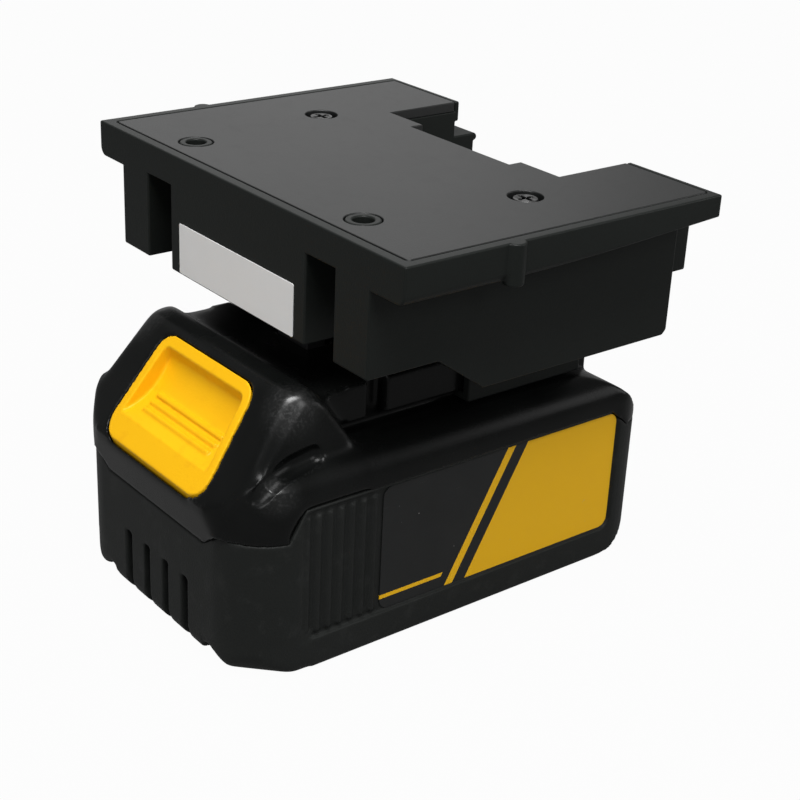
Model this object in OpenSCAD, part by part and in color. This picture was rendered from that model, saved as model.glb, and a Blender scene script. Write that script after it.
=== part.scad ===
// Slide-on battery adapter for cordless tools, docked on its battery pack
// The pack slides out of the adapter along -Y once its release button is pressed

/* [Battery pack] */
// Width of the pack
pack_w = 75; // [74:0.5:80]
// Height of the shoulders on both sides of the neck
shoulder_top = 50.2; // [49.5:0.1:53]
// Wall thickness of both pack housings
pack_wall = 2.4; // [2:0.1:2.8]
// Distance that the lip under the button stands ahead of the lower housing
nose_out = 2; // [1:0.1:3]
// Corner radius at the button end, seen from above
corner_front = 14; // [12:0.5:15]
// Corner radius at the contact end, seen from above
corner_rear = 10.5; // [9:0.5:12]
// Radius along the bottom edges of the two sides
bottom_round = 2; // [1.5:0.1:3]
// Radius along the bottom edge at the button end
bottom_front = 5.5; // [4.5:0.1:7]
// Radius along the bottom edge at the contact end
bottom_rear = 17; // [14:0.5:18]
// Radius along the top of the shoulders
shoulder_round = 7.5; // [6:0.1:9]
// Radius where the shoulders come down at the button end
front_round = 12; // [9:0.5:14]
// Radius where the shoulders come down at the contact end
rear_round = 24; // [20:0.5:25]

/* [Parting line] */
// Height of the parting line below the button
split_mid = 30; // [29:0.1:31]
// Height of the parting line at the front corners
split_corner = 34; // [33:0.1:35]
// Height of the parting line over the side panels
split_side = 41; // [40.5:0.1:42]
// Height of the parting line at the contact end
split_rear = 36; // [35:0.1:37]

/* [Neck and rails] */
// Width of the neck over its rails
neck_w = 56; // [54:0.5:58]
// Height of the top of the neck
neck_top = 62.3; // [61:0.1:63.5]
// Height of the rails along the neck
rail_h = 9.1; // [8.5:0.1:9.5]
// Depth of the groove under each rail
groove_in = 3.5; // [3:0.1:4]
// Distance from the end of the neck to the rear of the pack
neck_setback = 11.5; // [10:0.5:13]
// Width of the stop notch in each rail
rail_notch_w = 5.3; // [4:0.1:7]
// Distance from the hood's rear edge to the middle of the stop notch
rail_notch_back = 18.3; // [16:0.1:21]

/* [Latch hood and button] */
// Width of the hood at its top
hood_w = 61; // [58:0.5:63]
// Width of the hood at its foot
hood_foot_w = 71; // [69:0.5:72]
// Height of the hood over the neck
hood_rise = 2.5; // [1.5:0.1:3]
// Length of the hood from the lip to its rear edge
hood_l = 24.1; // [23:0.1:26]
// Height of the button's lower edge
button_low_z = 40.9; // [40:0.1:42]
// Height of the button's upper edge
button_top_z = 62.8; // [61.5:0.1:63]
// Length of the button, seen from above
button_l = 16.3; // [15.5:0.1:17]
// Width of the button at its lower edge
button_low_w = 42.2; // [40:0.2:44]
// Width of the button at its upper edge
button_top_w = 36.8; // [35:0.2:39]
// Corner radius of the button
button_round = 4.2; // [3:0.1:5]
// Depth of the finger scoop
scoop_depth = 3.8; // [3:0.1:4.2]
// Travel of the button
press_travel = 4; // [3.5:0.1:4.3]
// Lean of the button's travel from the vertical
press_tilt = 20; // [18:0.5:22]
// Height of the latch bolt over the neck
bolt_rise = 4; // [3:0.1:5]
// Width of the latch bolt
bolt_w = 12; // [10:0.5:14]

/* [Cells] */
// Diameter of one cell
cell_d = 18.4; // [18:0.1:18.6]
// Length of one cell
cell_l = 65; // [64:0.1:65.5]
// Gap between neighbouring cells
cell_gap = 1.1; // [0.6:0.1:1.2]
// Depth of each cell holder along the cells
holder_t = 5; // [3:0.1:7]
// Gap between the spring shelf and the first cells
cell_front_gap = 1.5; // [1:0.1:3]
// Gap between the last cells and the rear screw posts
cell_rear_gap = 1; // [0.6:0.1:2]

/* [Adapter] */
// Width over the two side flanges
flange_w = 118.6; // [114:0.2:124]
// Length of the adapter
adapter_l = 88.9; // [86:0.1:92]
// Distance that the adapter's rear stands behind the end of the neck
adapter_overhang = 1.6; // [1:0.1:2.5]
// Height of the adapter's top over the neck
adapter_rise = 39.3; // [37:0.1:42]
// Height of the side flanges at the front
flange_h = 8.4; // [7.5:0.1:9.5]
// Rise of the flange's underside towards the rear
flange_lead = 3.2; // [1:0.1:3.5]
// Radius along the lower edge of each flange
flange_round = 2.2; // [1.5:0.1:3]
// Width over the adapter's lower walls
wall_w = 97.4; // [96:0.2:102]
// Wall thickness of the adapter
adapter_wall = 2.2; // [1.8:0.1:2.6]
// Gap between the neck and the adapter's floor
floor_gap = 2.5; // [1.5:0.1:3.5]
// Height of the front legs over the floor behind them
leg_rise = 9.1; // [8:0.1:11]
// Distance between the two front slots
slot_apart = 53.6; // [52:0.2:56]
// Width of each front slot
slot_w = 10.1; // [9:0.1:11]
// Thickness of the cover plate
cover_t = 2.5; // [2:0.1:3]
// Width of the rim around the cover plate
rim_w = 3; // [2:0.1:4]
// Width of the terminal notch at the rear
notch_w = 61.8; // [58:0.2:66]
// Depth of the terminal notch
notch_l = 22.6; // [20:0.1:24]
// Depth of the terminal notch below the top
notch_depth = 21.5; // [20:0.1:23]
// Width of the deeper middle of the notch
notch_mid_w = 36; // [34:0.2:40]
// Extra depth of the notch's middle
notch_mid_l = 3.6; // [2.5:0.1:4.5]

/* [Holes and screws] */
// Diameter of the two plain mounting holes
mount_d = 4.6; // [4.2:0.1:5]
// Distance between the two mounting holes
mount_apart = 64.6; // [62:0.2:66]
// Distance from the front face to the mounting holes
mount_setback = 10.3; // [9:0.1:14]
// Diameter of the cover screws' counterbores
counterbore_d = 8; // [7.6:0.1:8.8]
// Distance between the two cover screws
screw_apart = 75.6; // [75:0.2:78]
// Distance from the front face to the cover screws
screw_setback = 49.9; // [46:0.1:52]
// Diameter of the cover screws' shanks
screw_d = 3; // [2.5:0.1:3.2]
// Diameter of the cover screws' heads
screw_head_d = 6.8; // [6:0.1:7.2]

/* [Contacts] */
// Thickness of the contact blades
blade_t = 0.8; // [0.6:0.05:0.9]
// Distance from one blade to the next
blade_pitch = 11; // [10:0.1:11.5]
// Length of the blades along the slide
blade_l = 18; // [14:0.5:19]
// Distance from one output clip to the next
output_pitch = 8; // [7.6:0.1:8.4]

/* [Clearances] */
// Clearance between the adapter's rails and the pack's neck
slide_fit = 0.4; // [0.3:0.05:0.5]
// Clearance around moving buttons
button_fit = 0.35; // [0.3:0.05:0.45]
// Seam around the cover plate
seam = 0.2; // [0.1:0.05:0.3]
// Play of each screw in its hole
screw_play = 0.05; // [0.02:0.01:0.1]
// Clearance between a contact clip's leaf and its blade
contact_fit = 0.12; // [0.1:0.01:0.15]

/* [Hidden] */
$fn = 48;
CELL_COLUMNS = 5;
CELL_ROWS = 2;
RIBS = 7;
VENTS = 4;
CELLS = [for (i = [1:CELL_COLUMNS * CELL_ROWS]) str("cell_", i)];

// Cuts run this far past the faces that they open
overrun = 1;

// Springs below the button
spring_wire = 0.7;
spring_d = 6;
spring_turns = 3.5;
spring_x = 12;
spring_pressed_h = 3.6;
seat_t = 2;
pad_rim = 1.2;
pad_r = spring_d / 2 + pad_rim;
pad_drop = 3.5;
pad_in = 1.8;

// Pack screws
pack_screw_x = 21.5;
pack_boss_r = 3.2;
boss_sunk = 0.4;
pack_head_r = 2.7;
pack_bore_r = 3;
pack_bore_wall = 0.8;
pack_bore_roof = 2;
pack_shank_r = 1.5;
pack_head_z = 13;
dish_r = 4.8;
dish_h = 4.5;
boss_joint_z = 26;

// Length of the pack, from what it holds: the springs' shelf, the cells and the rear screw posts
cell_pitch = cell_d + cell_gap;
cell_block_half = (CELL_COLUMNS - 1) / 2 * cell_pitch + cell_d / 2;
function leaning(y, z) = [
    y * cos(press_tilt) + z * sin(press_tilt), z * cos(press_tilt) - y * sin(press_tilt)
];
lip_in = 0.6;
low_edge = leaning(lip_in, button_low_z);
shelf_back = low_edge[0] + pad_in + 2 * pad_r;
shelf_low = low_edge[1] - pad_drop - press_travel - spring_pressed_h - seat_t;
shelf_reach = shelf_back * cos(press_tilt) - shelf_low * sin(press_tilt);
rear_room = cell_rear_gap + 2 * pack_boss_r - boss_sunk + pack_wall;
pack_l = shelf_reach + cell_front_gap + 2 * cell_block_half + rear_room;

// Pack body in the YZ plane
front = -pack_l / 2;
rear = pack_l / 2;
body_front = front + nose_out;
post_in = pack_wall + pack_boss_r - boss_sunk;
pack_screw_y = [body_front + post_in, rear - post_in];

// Neck in the XZ plane
rail_under = neck_top - rail_h;
groove_half = neck_w / 2 - groove_in;
neck_end = rear - neck_setback;
neck_skin = 2.3;
neck_root = 7;
neck_edge_round = 1;
neck_end_round = 5;

// Hood and button, in the YZ plane and in the plane that leans with the button's travel
hood_top = neck_top + hood_rise;
hood_back = front + hood_l;
button_low_y = front + lip_in;
button_top_y = button_low_y + button_l;
button_slope = (button_top_z - button_low_z) / button_l;
lip_z = button_low_z - lip_in * button_slope;
face_low = leaning(button_low_y, button_low_z);
face_top = leaning(button_top_y, button_top_z);
face_l = norm(face_top - face_low);
face_angle = atan2(face_top[1] - face_low[1], face_top[0] - face_low[0]);
hood_lean = 9.9;
hood_round = 4.5;
cheek_in = 3.2;
cheek_l = 6.1;
cheek_low_in = 1.7;
cheek_low_back = 3.5;
cheek_low_z = lip_z + 2;
hood_back_round = 1.5;
hood_corner = 15;
crest_gap = 0.9;
crest_round = 5;
button_skin = 2.1;
skirt_front = 6.1;
skirt_back = 15.6;
ceiling_drop = (scoop_depth + button_skin) / cos(face_angle);
pad_z = face_low[1] - pad_drop;
spring_y = face_low[0] + pad_in + pad_r;
spring_seat = pad_z - press_travel - spring_pressed_h;

// Adapter in the YZ plane
adapter_rear = neck_end + adapter_overhang;
adapter_front = adapter_rear - adapter_l;
top_z = neck_top + adapter_rise;
floor_z = neck_top + floor_gap;
leg_z = floor_z + leg_rise;
leg_l = 18.8;
leg_slope_l = 13;
deep_y = adapter_front + leg_l + leg_slope_l;
wall_inset = 1;
wall_rear = adapter_rear - wall_inset;
tail_bevel = 1.2;
slot_top_gap = 7.3;
slot_ceiling = top_z - slot_top_gap;
cover_z = top_z - cover_t;
notch_y = adapter_rear - notch_l;
notch_mid_y = notch_y - notch_mid_l;
notch_floor = top_z - notch_depth;
rear_rim = 1.6;
cover_round = 1;
mount_y = adapter_front + mount_setback;
mount_wall = 1.6;
mount_boss_r = mount_d / 2 + mount_wall;
screw_y = adapter_front + screw_setback;
screw_boss_r = 4;
screw_l = 14;
head_sink = 2.2;
under_cover = 3;

// Latch bolt and the strike that it stands behind
bolt_top = neck_top + bolt_rise;
bolt_l = 5;
bolt_setback = 15.8;
bolt_y = adapter_front + bolt_setback;
bolt_bevel = 1;
latch_t = 3;
latch_gap = 1.5;
latch_z = neck_top - neck_skin - latch_t - latch_gap;
strike_gap = 0.4;
strike_t = 3;
strike_side = 4;
function button_back(z) = (face_top[0] - z * sin(press_tilt)) / cos(press_tilt);

// Rails that hold the neck
rail_l = 35.1;
rail_tail = 9;
rail_end = wall_rear - rail_tail;
rail_start = rail_end - rail_l;
rail_web = 2.2;
rail_lip = 1.7;

// Cells
row_gap = 0.6;
row_pitch = cell_d + row_gap;
cell_floor_gap = 1;
cell_z = pack_wall + cell_floor_gap + cell_d / 2;
cell_mid_y = rear - rear_room - cell_block_half;
cell_tip_r = 4.2;
cell_tip_h = 1.2;
cell_play = 0.15;
holder_wall = 0.8;
holder_over = 1.8;
holder_top = cell_z + row_pitch + cell_d / 2 + holder_over;
strip_t = 0.3;
strip_w = 8;
board_t = 1.6;
board_inset = 1.5;
function cell_y(column) = cell_mid_y + (column - (CELL_COLUMNS - 1) / 2) * cell_pitch;

// Side panels of the lower housing
panel_in = 1;
panel_y0 = body_front + 14.5;
panel_y1 = rear - 11;
panel_z0 = 8.2;
panel_top_gap = 0.6;
panel_z1 = split_side - panel_top_gap;
grip_l = 22;
label_t = 0.3;
label_edge = 0.4;
label_round = 2.6;

// Contacts between the pack and the adapter
blade_x = [for (i = [0:3]) (i - 1.5) * blade_pitch];
blade_end_gap = 5.5;
blade_y = neck_end - blade_end_gap - blade_l;
blade_under_gap = 0.9;
blade_low = rail_under + blade_under_gap;
carrier_side = 4;
carrier_lead = 2;
carrier_end = 1;
carrier_y0 = blade_y - carrier_lead;
carrier_y1 = blade_y + blade_l + carrier_end;
carrier_rise = 3;
carrier_flange = 2;
carrier_half = 1.5 * blade_pitch + carrier_side;
carrier_top = floor_z + adapter_wall + carrier_rise;
tab_rise = 2.8;
blade_top = carrier_top + tab_rise;
tab_start = 4;
tab_l = 6;
tab_end = tab_start + tab_l;
neck_slot_play = 0.8;
clip_t = 0.5;
clip_gap = blade_t / 2 + contact_fit;
clip_play = 0.4;
clip_slot = clip_gap + clip_t + clip_play;
terminal_z0 = holder_top + board_t;
terminal_z1 = neck_top - neck_skin - seam;
terminal_floor = 2;
terminal_end = 3;
terminal_half = groove_half - neck_skin - 2 * seam;
clip_z = terminal_z0 + terminal_floor;

// Contacts between the adapter and the tool
output_x = [for (i = [0:3]) (i - 1.5) * output_pitch];
output_side = 3.5;
output_half = 1.5 * output_pitch + output_side;
output_depth = 8;
output_flange = 2;
output_inset = 1.5;
pocket_in = 3.5;
output_margin = 2.4;
output_z0 = notch_floor + output_margin;
output_z1 = cover_z - output_margin;
output_y = notch_mid_y - adapter_wall;
output_mid_z = (output_z0 + output_z1) / 2;
output_back = output_y - output_depth;
tail_r = 1;
tail_out = 2.4;
tail_y = output_back - tail_out;
wire_r = 1.3;
wire_bend = 3;
wire_reach = 8;

// Charge gauge at the rear of the pack
gauge_z = 22;
gauge_w = 26;
gauge_h = 9;
gauge_round = 2;
gauge_travel = 0.8;
gauge_button_r = 3.4;
gauge_x = 6.5;
gauge_flange_t = 1;
gauge_flange = 1;
gauge_depth = 3.4;
gauge_board_y = rear - pack_wall - gauge_depth;
gauge_post_in = 1.5;
gauge_post_out = 2;
gauge_board_half = gauge_w / 2 - 1;

function unit(v) = v / norm(v);

// Points of a convex outline, moved inwards by a distance
function inset(points, distance) = [
    for (i = [0:len(points) - 1])
        let (
            n = len(points),
            a = unit(points[(i + n - 1) % n] - points[i]),
            b = unit(points[(i + 1) % n] - points[i]),
            half = acos(a * b) / 2
        )
        points[i] + unit(a + b) * distance / sin(half)
];

// Points of a convex outline with an arc at each corner that has a radius
function softened(points, radii, steps = 6) = [
    for (i = [0:len(points) - 1])
        let (
            n = len(points),
            a = unit(points[(i + n - 1) % n] - points[i]),
            b = unit(points[(i + 1) % n] - points[i]),
            half = acos(a * b) / 2,
            r = radii[i],
            centre = points[i] + unit(a + b) * r / sin(half),
            from = points[i] + a * r / tan(half) - centre,
            to = points[i] + b * r / tan(half) - centre,
            a0 = atan2(from[1], from[0]),
            turn = (atan2(to[1], to[0]) - a0 + 900) % 360 - 180
        )
        each r == 0 ? [points[i]]
            : [for (k = [0:steps]) centre + r * [cos(a0 + turn * k / steps), sin(a0 + turn * k / steps)]]
];

// Rectangle with its own radius at each corner, counted from the lower left against the clock
module rounded(x0, x1, y0, y1, radii) {
    corners = [[x0, y0, 1, 1], [x1, y0, -1, 1], [x1, y1, -1, -1], [x0, y1, 1, -1]];
    difference() {
        translate([x0, y0]) square([x1 - x0, y1 - y0]);
        for (i = [0:3]) {
            c = corners[i];
            r = radii[i];
            if (r > 0) difference() {
                translate([c[0] - (c[2] > 0 ? overrun : r), c[1] - (c[3] > 0 ? overrun : r)])
                    square(r + overrun);
                translate([c[0] + c[2] * r, c[1] + c[3] * r]) circle(r);
            }
        }
    }
}

// Flat shape given as Y and Z, made into a solid across the middle of X
module along_x(width) {
    rotate([90, 0, 90]) linear_extrude(width, center = true) children();
}

// Flat shape given as X and Z, made into a solid along Y
module along_y(y0, y1) {
    translate([0, y1, 0]) rotate([90, 0, 0]) linear_extrude(y1 - y0) children();
}

module block(low, high) {
    translate(low) cube(high - low);
}

// Copies of a shape on both sides of the middle
module both_sides(x) {
    for (s = [-1, 1]) translate([s * x, 0, 0]) children();
}

module mirrored_pair() {
    children();
    mirror([1, 0, 0]) children();
}

// Body of the pack without its neck, moved inwards by a distance
module pack_form(i) {
    intersection() {
        linear_extrude(shoulder_top)
            rounded(i - pack_w / 2, pack_w / 2 - i, body_front + i, rear - i,
                [corner_front - i, corner_front - i, corner_rear - i, corner_rear - i]);
        along_x(pack_w)
            rounded(body_front + i, rear - i, i, shoulder_top - i,
                [bottom_front - i, bottom_rear - i, rear_round - i, front_round - i]);
        along_y(front, rear)
            rounded(i - pack_w / 2, pack_w / 2 - i, i, shoulder_top - i,
                [bottom_round - i, bottom_round - i, shoulder_round - i, shoulder_round - i]);
    }
}

// Space below the parting line of the two housings
module below_split() {
    dip_half = 26;
    dip_ramp = 5.5;
    ramp = 3;
    difference() {
        along_x(pack_w + 2 * overrun)
            polygon([
                [front - overrun, -overrun], [front - overrun, split_corner],
                [panel_y0 - ramp, split_corner], [panel_y0 + ramp / 3, split_side],
                [panel_y1 - ramp, split_side], [panel_y1 + ramp, split_rear],
                [rear + overrun, split_rear], [rear + overrun, -overrun]
            ]);
        along_y(front - overrun, panel_y0 - 2 * ramp)
            polygon([
                [-dip_half, split_corner], [dip_ramp - dip_half, split_mid],
                [dip_half - dip_ramp, split_mid], [dip_half, split_corner],
                [dip_half, split_corner + overrun], [-dip_half, split_corner + overrun]
            ]);
    }
}

// Latch hood at the button end, moved inwards by a distance
module hood_form(i) {
    foot_y = hood_back + hood_lean;
    foot = hood_foot_w / 2;
    side = [
        [body_front, split_mid], [front, lip_z],
        [button_top_y + crest_gap, button_top_z + crest_gap * button_slope], [hood_back, hood_top],
        [foot_y, shoulder_top], [foot_y, split_mid]
    ];
    across = [
        [-foot, split_mid], [foot, split_mid], [hood_w / 2, hood_top], [-hood_w / 2, hood_top]
    ];
    edge = hood_round - i;
    difference() {
        intersection() {
            along_x(pack_w)
                polygon(softened(inset(side, i), [0, 0, crest_round - i, hood_back_round, 0, 0]));
            along_y(front, foot_y)
                polygon(softened(inset(across, i), [0, 0, edge, edge]));
            translate([0, 0, split_mid])
                linear_extrude(hood_top - split_mid)
                    rounded(i - foot, foot - i, front + i, foot_y,
                        [hood_corner - i, hood_corner - i, 0, 0]);
        }
        mirrored_pair() beside_cheek(i);
    }
}

// Space outside the flat cheek that runs from the hood's rear corner down to its front corner
module beside_cheek(i) {
    rear_corner = [hood_w / 2, hood_back, hood_top];
    crest_corner = rear_corner - [cheek_in, cheek_l, 0];
    low_corner = [hood_foot_w / 2 - cheek_low_in, front + cheek_low_back, cheek_low_z];
    out = unit(cross(crest_corner - rear_corner, low_corner - rear_corner));
    translate(rear_corner - i * out)
        rotate([0, acos(out[2]), atan2(out[1], out[0])])
            translate([-pack_w, -pack_w, 0]) cube(2 * pack_w);
}

// Neck with a rail along each side
module neck_form() {
    y0 = hood_back + hood_lean / 4;
    root_z = shoulder_top - neck_root;
    intersection() {
        along_y(y0, neck_end) {
            rounded(-neck_w / 2, neck_w / 2, rail_under, neck_top, [0, 0, neck_edge_round, neck_edge_round]);
            translate([-groove_half, root_z]) square([2 * groove_half, rail_under - root_z + overrun]);
        }
        translate([0, 0, root_z])
            linear_extrude(neck_top - root_z)
                rounded(-neck_w / 2, neck_w / 2, y0, neck_end, [0, 0, neck_end_round, neck_end_round]);
    }
}

// Outline of the button seen along its travel, grown by a distance
module button_outline(grow) {
    corners = [
        [-button_low_w / 2, face_low[0]], [button_low_w / 2, face_low[0]],
        [button_top_w / 2, face_top[0]], [-button_top_w / 2, face_top[0]]
    ];
    r = button_round + grow;
    polygon(softened(inset(corners, -grow), [r, r, r, r]));
}

// Space along the rails of a slot that takes one blade
module blade_slots(width, y0, z0, z1) {
    for (x = blade_x) block([x - width / 2, y0, z0], [x + width / 2, neck_end + overrun, z1]);
}

// Where the four housing screws go
module at_pack_screws() {
    for (x = [-pack_screw_x, pack_screw_x], y = pack_screw_y) translate([x, y, 0]) children();
}

// The front pair of them, whose dished feet break through the front edge
module at_front_screws() {
    both_sides(pack_screw_x) translate([0, pack_screw_y[0], 0]) children();
}

module gauge_opening(depth, grow) {
    along_y(rear - depth, rear + overrun)
        rounded(-gauge_w / 2 - grow, gauge_w / 2 + grow, gauge_z - gauge_h / 2 - grow,
            gauge_z + gauge_h / 2 + grow, [for (k = [0:3]) gauge_round]);
}

module pack_upper_housing() color("#1c1d1e") {
    web_t = 3;
    screw_room = 12;
    rail_notch_y = hood_back + rail_notch_back;
    difference() {
        union() {
            difference() {
                union() {
                    pack_form(0);
                    hood_form(0);
                }
                below_split();
            }
            neck_form();
        }
        pack_form(pack_wall);
        hood_form(pack_wall);
        block([-groove_half + neck_skin, hood_back, split_rear], [groove_half - neck_skin,
            neck_end - neck_skin, neck_top - neck_skin]);
        rotate([press_tilt, 0, 0])
            translate([0, 0, face_low[1] - skirt_front - press_travel])
                linear_extrude(face_top[1]) button_outline(button_fit);
        block([-bolt_w / 2 - slide_fit, bolt_y - slide_fit, latch_z], [bolt_w / 2 + slide_fit,
            bolt_y + bolt_l + press_travel * sin(press_tilt) + slide_fit, neck_top + overrun]);
        blade_slots(blade_t + 2 * neck_slot_play, blade_y - neck_slot_play, rail_under + seam,
            neck_top + overrun);
        mirrored_pair()
            block([groove_half, rail_notch_y - rail_notch_w / 2, rail_under - overrun],
                [neck_w / 2 + overrun, rail_notch_y + rail_notch_w / 2, neck_top + overrun]);
    }
    // Shelf that carries the springs, between the two front posts
    intersection() {
        hood_form(pack_wall / 2);
        rotate([press_tilt, 0, 0])
            block([-pack_screw_x, face_low[0] - pack_wall, spring_seat - seat_t],
                [pack_screw_x, spring_y + pad_r, spring_seat]);
    }
    // Posts for the housing screws, tied to the end walls by webs
    difference() {
        union() {
            intersection() {
                at_pack_screws()
                    translate([0, 0, boss_joint_z]) cylinder(h = shoulder_top, r = pack_boss_r);
                pack_form(pack_wall + seam);
            }
            intersection() {
                both_sides(pack_screw_x) {
                    block([-web_t / 2, body_front, split_corner],
                        [web_t / 2, pack_screw_y[0], shoulder_top]);
                    block([-web_t / 2, pack_screw_y[1], split_rear], [web_t / 2, rear, shoulder_top]);
                }
                pack_form(pack_wall / 2);
            }
            intersection() {
                at_pack_screws() translate([0, 0, split_rear]) cylinder(h = shoulder_top, r = pack_boss_r);
                pack_form(pack_wall / 2);
            }
        }
        at_pack_screws()
            translate([0, 0, boss_joint_z - overrun])
                cylinder(h = screw_room, r = pack_shank_r + screw_play);
        rotate([press_tilt, 0, 0])
            translate([0, 0, spring_seat])
                linear_extrude(face_top[1]) button_outline(button_fit);
    }
}

module pack_lower_housing() color("#222324") {
    vent_w = 2.5;
    vent_pitch = 8.2;
    vent_z1 = 17.6;
    rib_r = 0.9;
    rib_pitch = 3;
    rib_inset = 1.5;
    panel_round = 3;
    difference() {
        intersection() {
            pack_form(0);
            below_split();
        }
        difference() {
            pack_form(pack_wall);
            at_pack_screws() {
                cylinder(h = boss_joint_z, r = pack_boss_r);
                cylinder(h = pack_head_z + pack_bore_roof, r = pack_bore_r + pack_bore_wall);
            }
            at_front_screws() cylinder(h = dish_h + pack_bore_roof, r = dish_r + pack_bore_wall);
        }
        for (i = [0:VENTS - 1])
            translate([(i - (VENTS - 1) / 2) * vent_pitch, 0, 0])
                block([-vent_w / 2, body_front - overrun, -overrun],
                    [vent_w / 2, body_front + bottom_front, vent_z1]);
        // Recess of each side panel
        both_sides(pack_w / 2)
            along_x(2 * panel_in)
                rounded(panel_y0, panel_y1, panel_z0, panel_z1, [for (k = [0:3]) panel_round]);
        at_pack_screws() {
            translate([0, 0, -overrun]) cylinder(h = pack_head_z + overrun, r = pack_bore_r);
            cylinder(h = boss_joint_z + overrun, r = pack_shank_r + screw_play);
        }
        at_front_screws() translate([0, 0, -overrun]) cylinder(h = dish_h + overrun, r = dish_r);
        gauge_opening(pack_wall + overrun, 0);
    }
    // Grooved posts that hold the gauge board at both ends
    difference() {
        mirrored_pair()
            block([gauge_w / 2 - gauge_post_in, gauge_board_y - 2 * board_t, gauge_z - gauge_h / 2],
                [gauge_w / 2 + gauge_post_out, rear - pack_wall / 2, gauge_z + gauge_h / 2]);
        gauge_opening(pack_wall + overrun, 0);
        block([-gauge_board_half - seam, gauge_board_y - board_t - seam / 2, 0],
            [gauge_board_half + seam, gauge_board_y + seam / 2, shoulder_top]);
    }
    // Grip ribs in the front of each panel
    both_sides(pack_w / 2 - panel_in)
        for (i = [0:RIBS - 1])
            translate([0, panel_y0 + rib_inset + i * rib_pitch, panel_z0 + rib_inset])
                cylinder(h = panel_z1 - panel_z0 - 2 * rib_inset, r = rib_r);
}

module housing_screws() color("#8d9094") at_pack_screws() {
    head_h = 2.4;
    socket_h = 1.5;
    shank_l = 18;
    translate([0, 0, pack_head_z - head_h])
        difference() {
            cylinder(h = head_h, r = pack_head_r);
            translate([0, 0, -overrun]) cylinder(h = overrun + socket_h, r = pack_head_r / 2, $fn = 6);
        }
    translate([0, 0, pack_head_z - overrun]) cylinder(h = overrun + shank_l, r = pack_shank_r);
}

// One cell with its raised positive end; every second column is turned round
module cell(i) color("#3f78a8") {
    column = floor((i - 1) / CELL_ROWS);
    row = (i - 1) % CELL_ROWS;
    translate([0, cell_y(column), cell_z + row * row_pitch])
        rotate([0, column % 2 == 0 ? 90 : -90, 0])
            translate([0, 0, -cell_l / 2]) {
                cylinder(h = cell_l - cell_tip_h, r = cell_d / 2);
                cylinder(h = cell_l, r = cell_tip_r);
            }
}

// Open frame that holds the cells at one end
module cell_holder() {
    y_half = cell_block_half + holder_wall;
    reach = pack_wall + seam;
    difference() {
        intersection() {
            block([cell_l / 2 - holder_t, cell_mid_y - y_half, pack_wall],
                [cell_l / 2, cell_mid_y + y_half, holder_top]);
            along_x(pack_w)
                rounded(front + reach, rear - reach, pack_wall, shoulder_top - reach,
                    [0, bottom_rear - reach, rear_round - reach, 0]);
        }
        for (column = [0:CELL_COLUMNS - 1], row = [0:CELL_ROWS - 1])
            translate([0, cell_y(column), cell_z + row * row_pitch])
                rotate([0, 90, 0]) cylinder(h = cell_l, r = cell_d / 2 + cell_play);
    }
}

module cell_holder_right() color("#2d2e30") cell_holder();

module cell_holder_left() color("#2d2e30") mirror([1, 0, 0]) cell_holder();

// Strip that joins the cells of one end, from one column to another
module strip(first, last) {
    y0 = cell_y(first) - strip_w / 2;
    y1 = cell_y(last) + strip_w / 2;
    translate([cell_l / 2, 0, cell_z]) {
        for (row = [0:CELL_ROWS - 1])
            block([0, y0, row * row_pitch - strip_w / 2], [strip_t, y1, row * row_pitch + strip_w / 2]);
        block([0, y0, 0], [strip_t, y0 + strip_w, row_pitch]);
    }
}

module bus_strips_right() color("#b9bcc0") {
    for (c = [0:2:CELL_COLUMNS - 1]) strip(c, min(c + 1, CELL_COLUMNS - 1));
}

module bus_strips_left() color("#b9bcc0") mirror([1, 0, 0]) {
    strip(0, 0);
    for (c = [1:2:CELL_COLUMNS - 1]) strip(c, min(c + 1, CELL_COLUMNS - 1));
}

// Circuit board on top of the cell holders, with a row of switches on it
module control_board() color("#1f5a38") {
    half = cell_l / 2 - board_inset;
    switch = [5, 6, 1.8];
    y0 = bolt_y - board_inset;
    y1 = neck_end - neck_skin - board_inset;
    block([-half, y0, holder_top], [half, y1, holder_top + board_t]);
    for (i = [-1, 0, 1])
        translate([(1.5 * i - 0.5) * switch[0], y0 + switch[1], holder_top + board_t]) cube(switch);
}

// Insulating block that holds the pack's contact clips
module terminal_block() color("#26272a") difference() {
    block([-terminal_half, blade_y - terminal_end, terminal_z0],
        [terminal_half, neck_end - neck_skin - seam, terminal_z1]);
    blade_slots(2 * clip_slot, blade_y - 2 * clip_play, clip_z, terminal_z1 + overrun);
}

// Forked clips, one for each blade
module terminal_clips() color("#c79a4b") for (x = blade_x) {
    y0 = blade_y - clip_play;
    y1 = neck_end - neck_skin - seam - clip_play;
    block([x - clip_gap - clip_t, y0, clip_z], [x + clip_gap + clip_t, y1, clip_z + clip_t]);
    for (s = [-1, 1])
        translate([x + s * (clip_gap + clip_t / 2), 0, 0])
            block([-clip_t / 2, y0, clip_z], [clip_t / 2, y1, terminal_z1 - clip_play]);
}

module side_label() {
    translate([pack_w / 2 - panel_in + label_t / 2, 0, 0])
        along_x(label_t)
            rounded(panel_y0 + grip_l, panel_y1 - label_edge, panel_z0 + label_edge, panel_z1 - label_edge,
                [for (k = [0:3]) label_round]);
}

module side_label_right() color("#2f3133") side_label();

module side_label_left() color("#2f3133") mirror([1, 0, 0]) side_label();

// Clear window over the charge lamps, with a hole for the gauge button
module gauge_lens() color("#5b6064") difference() {
    intersection() {
        gauge_opening(pack_wall, -seam / 2);
        along_x(pack_w) square([rear - seam, pack_w]);
    }
    translate([gauge_x, rear + overrun, gauge_z])
        rotate([90, 0, 0]) cylinder(h = pack_wall + 2 * overrun, r = gauge_button_r + button_fit);
}

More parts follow.
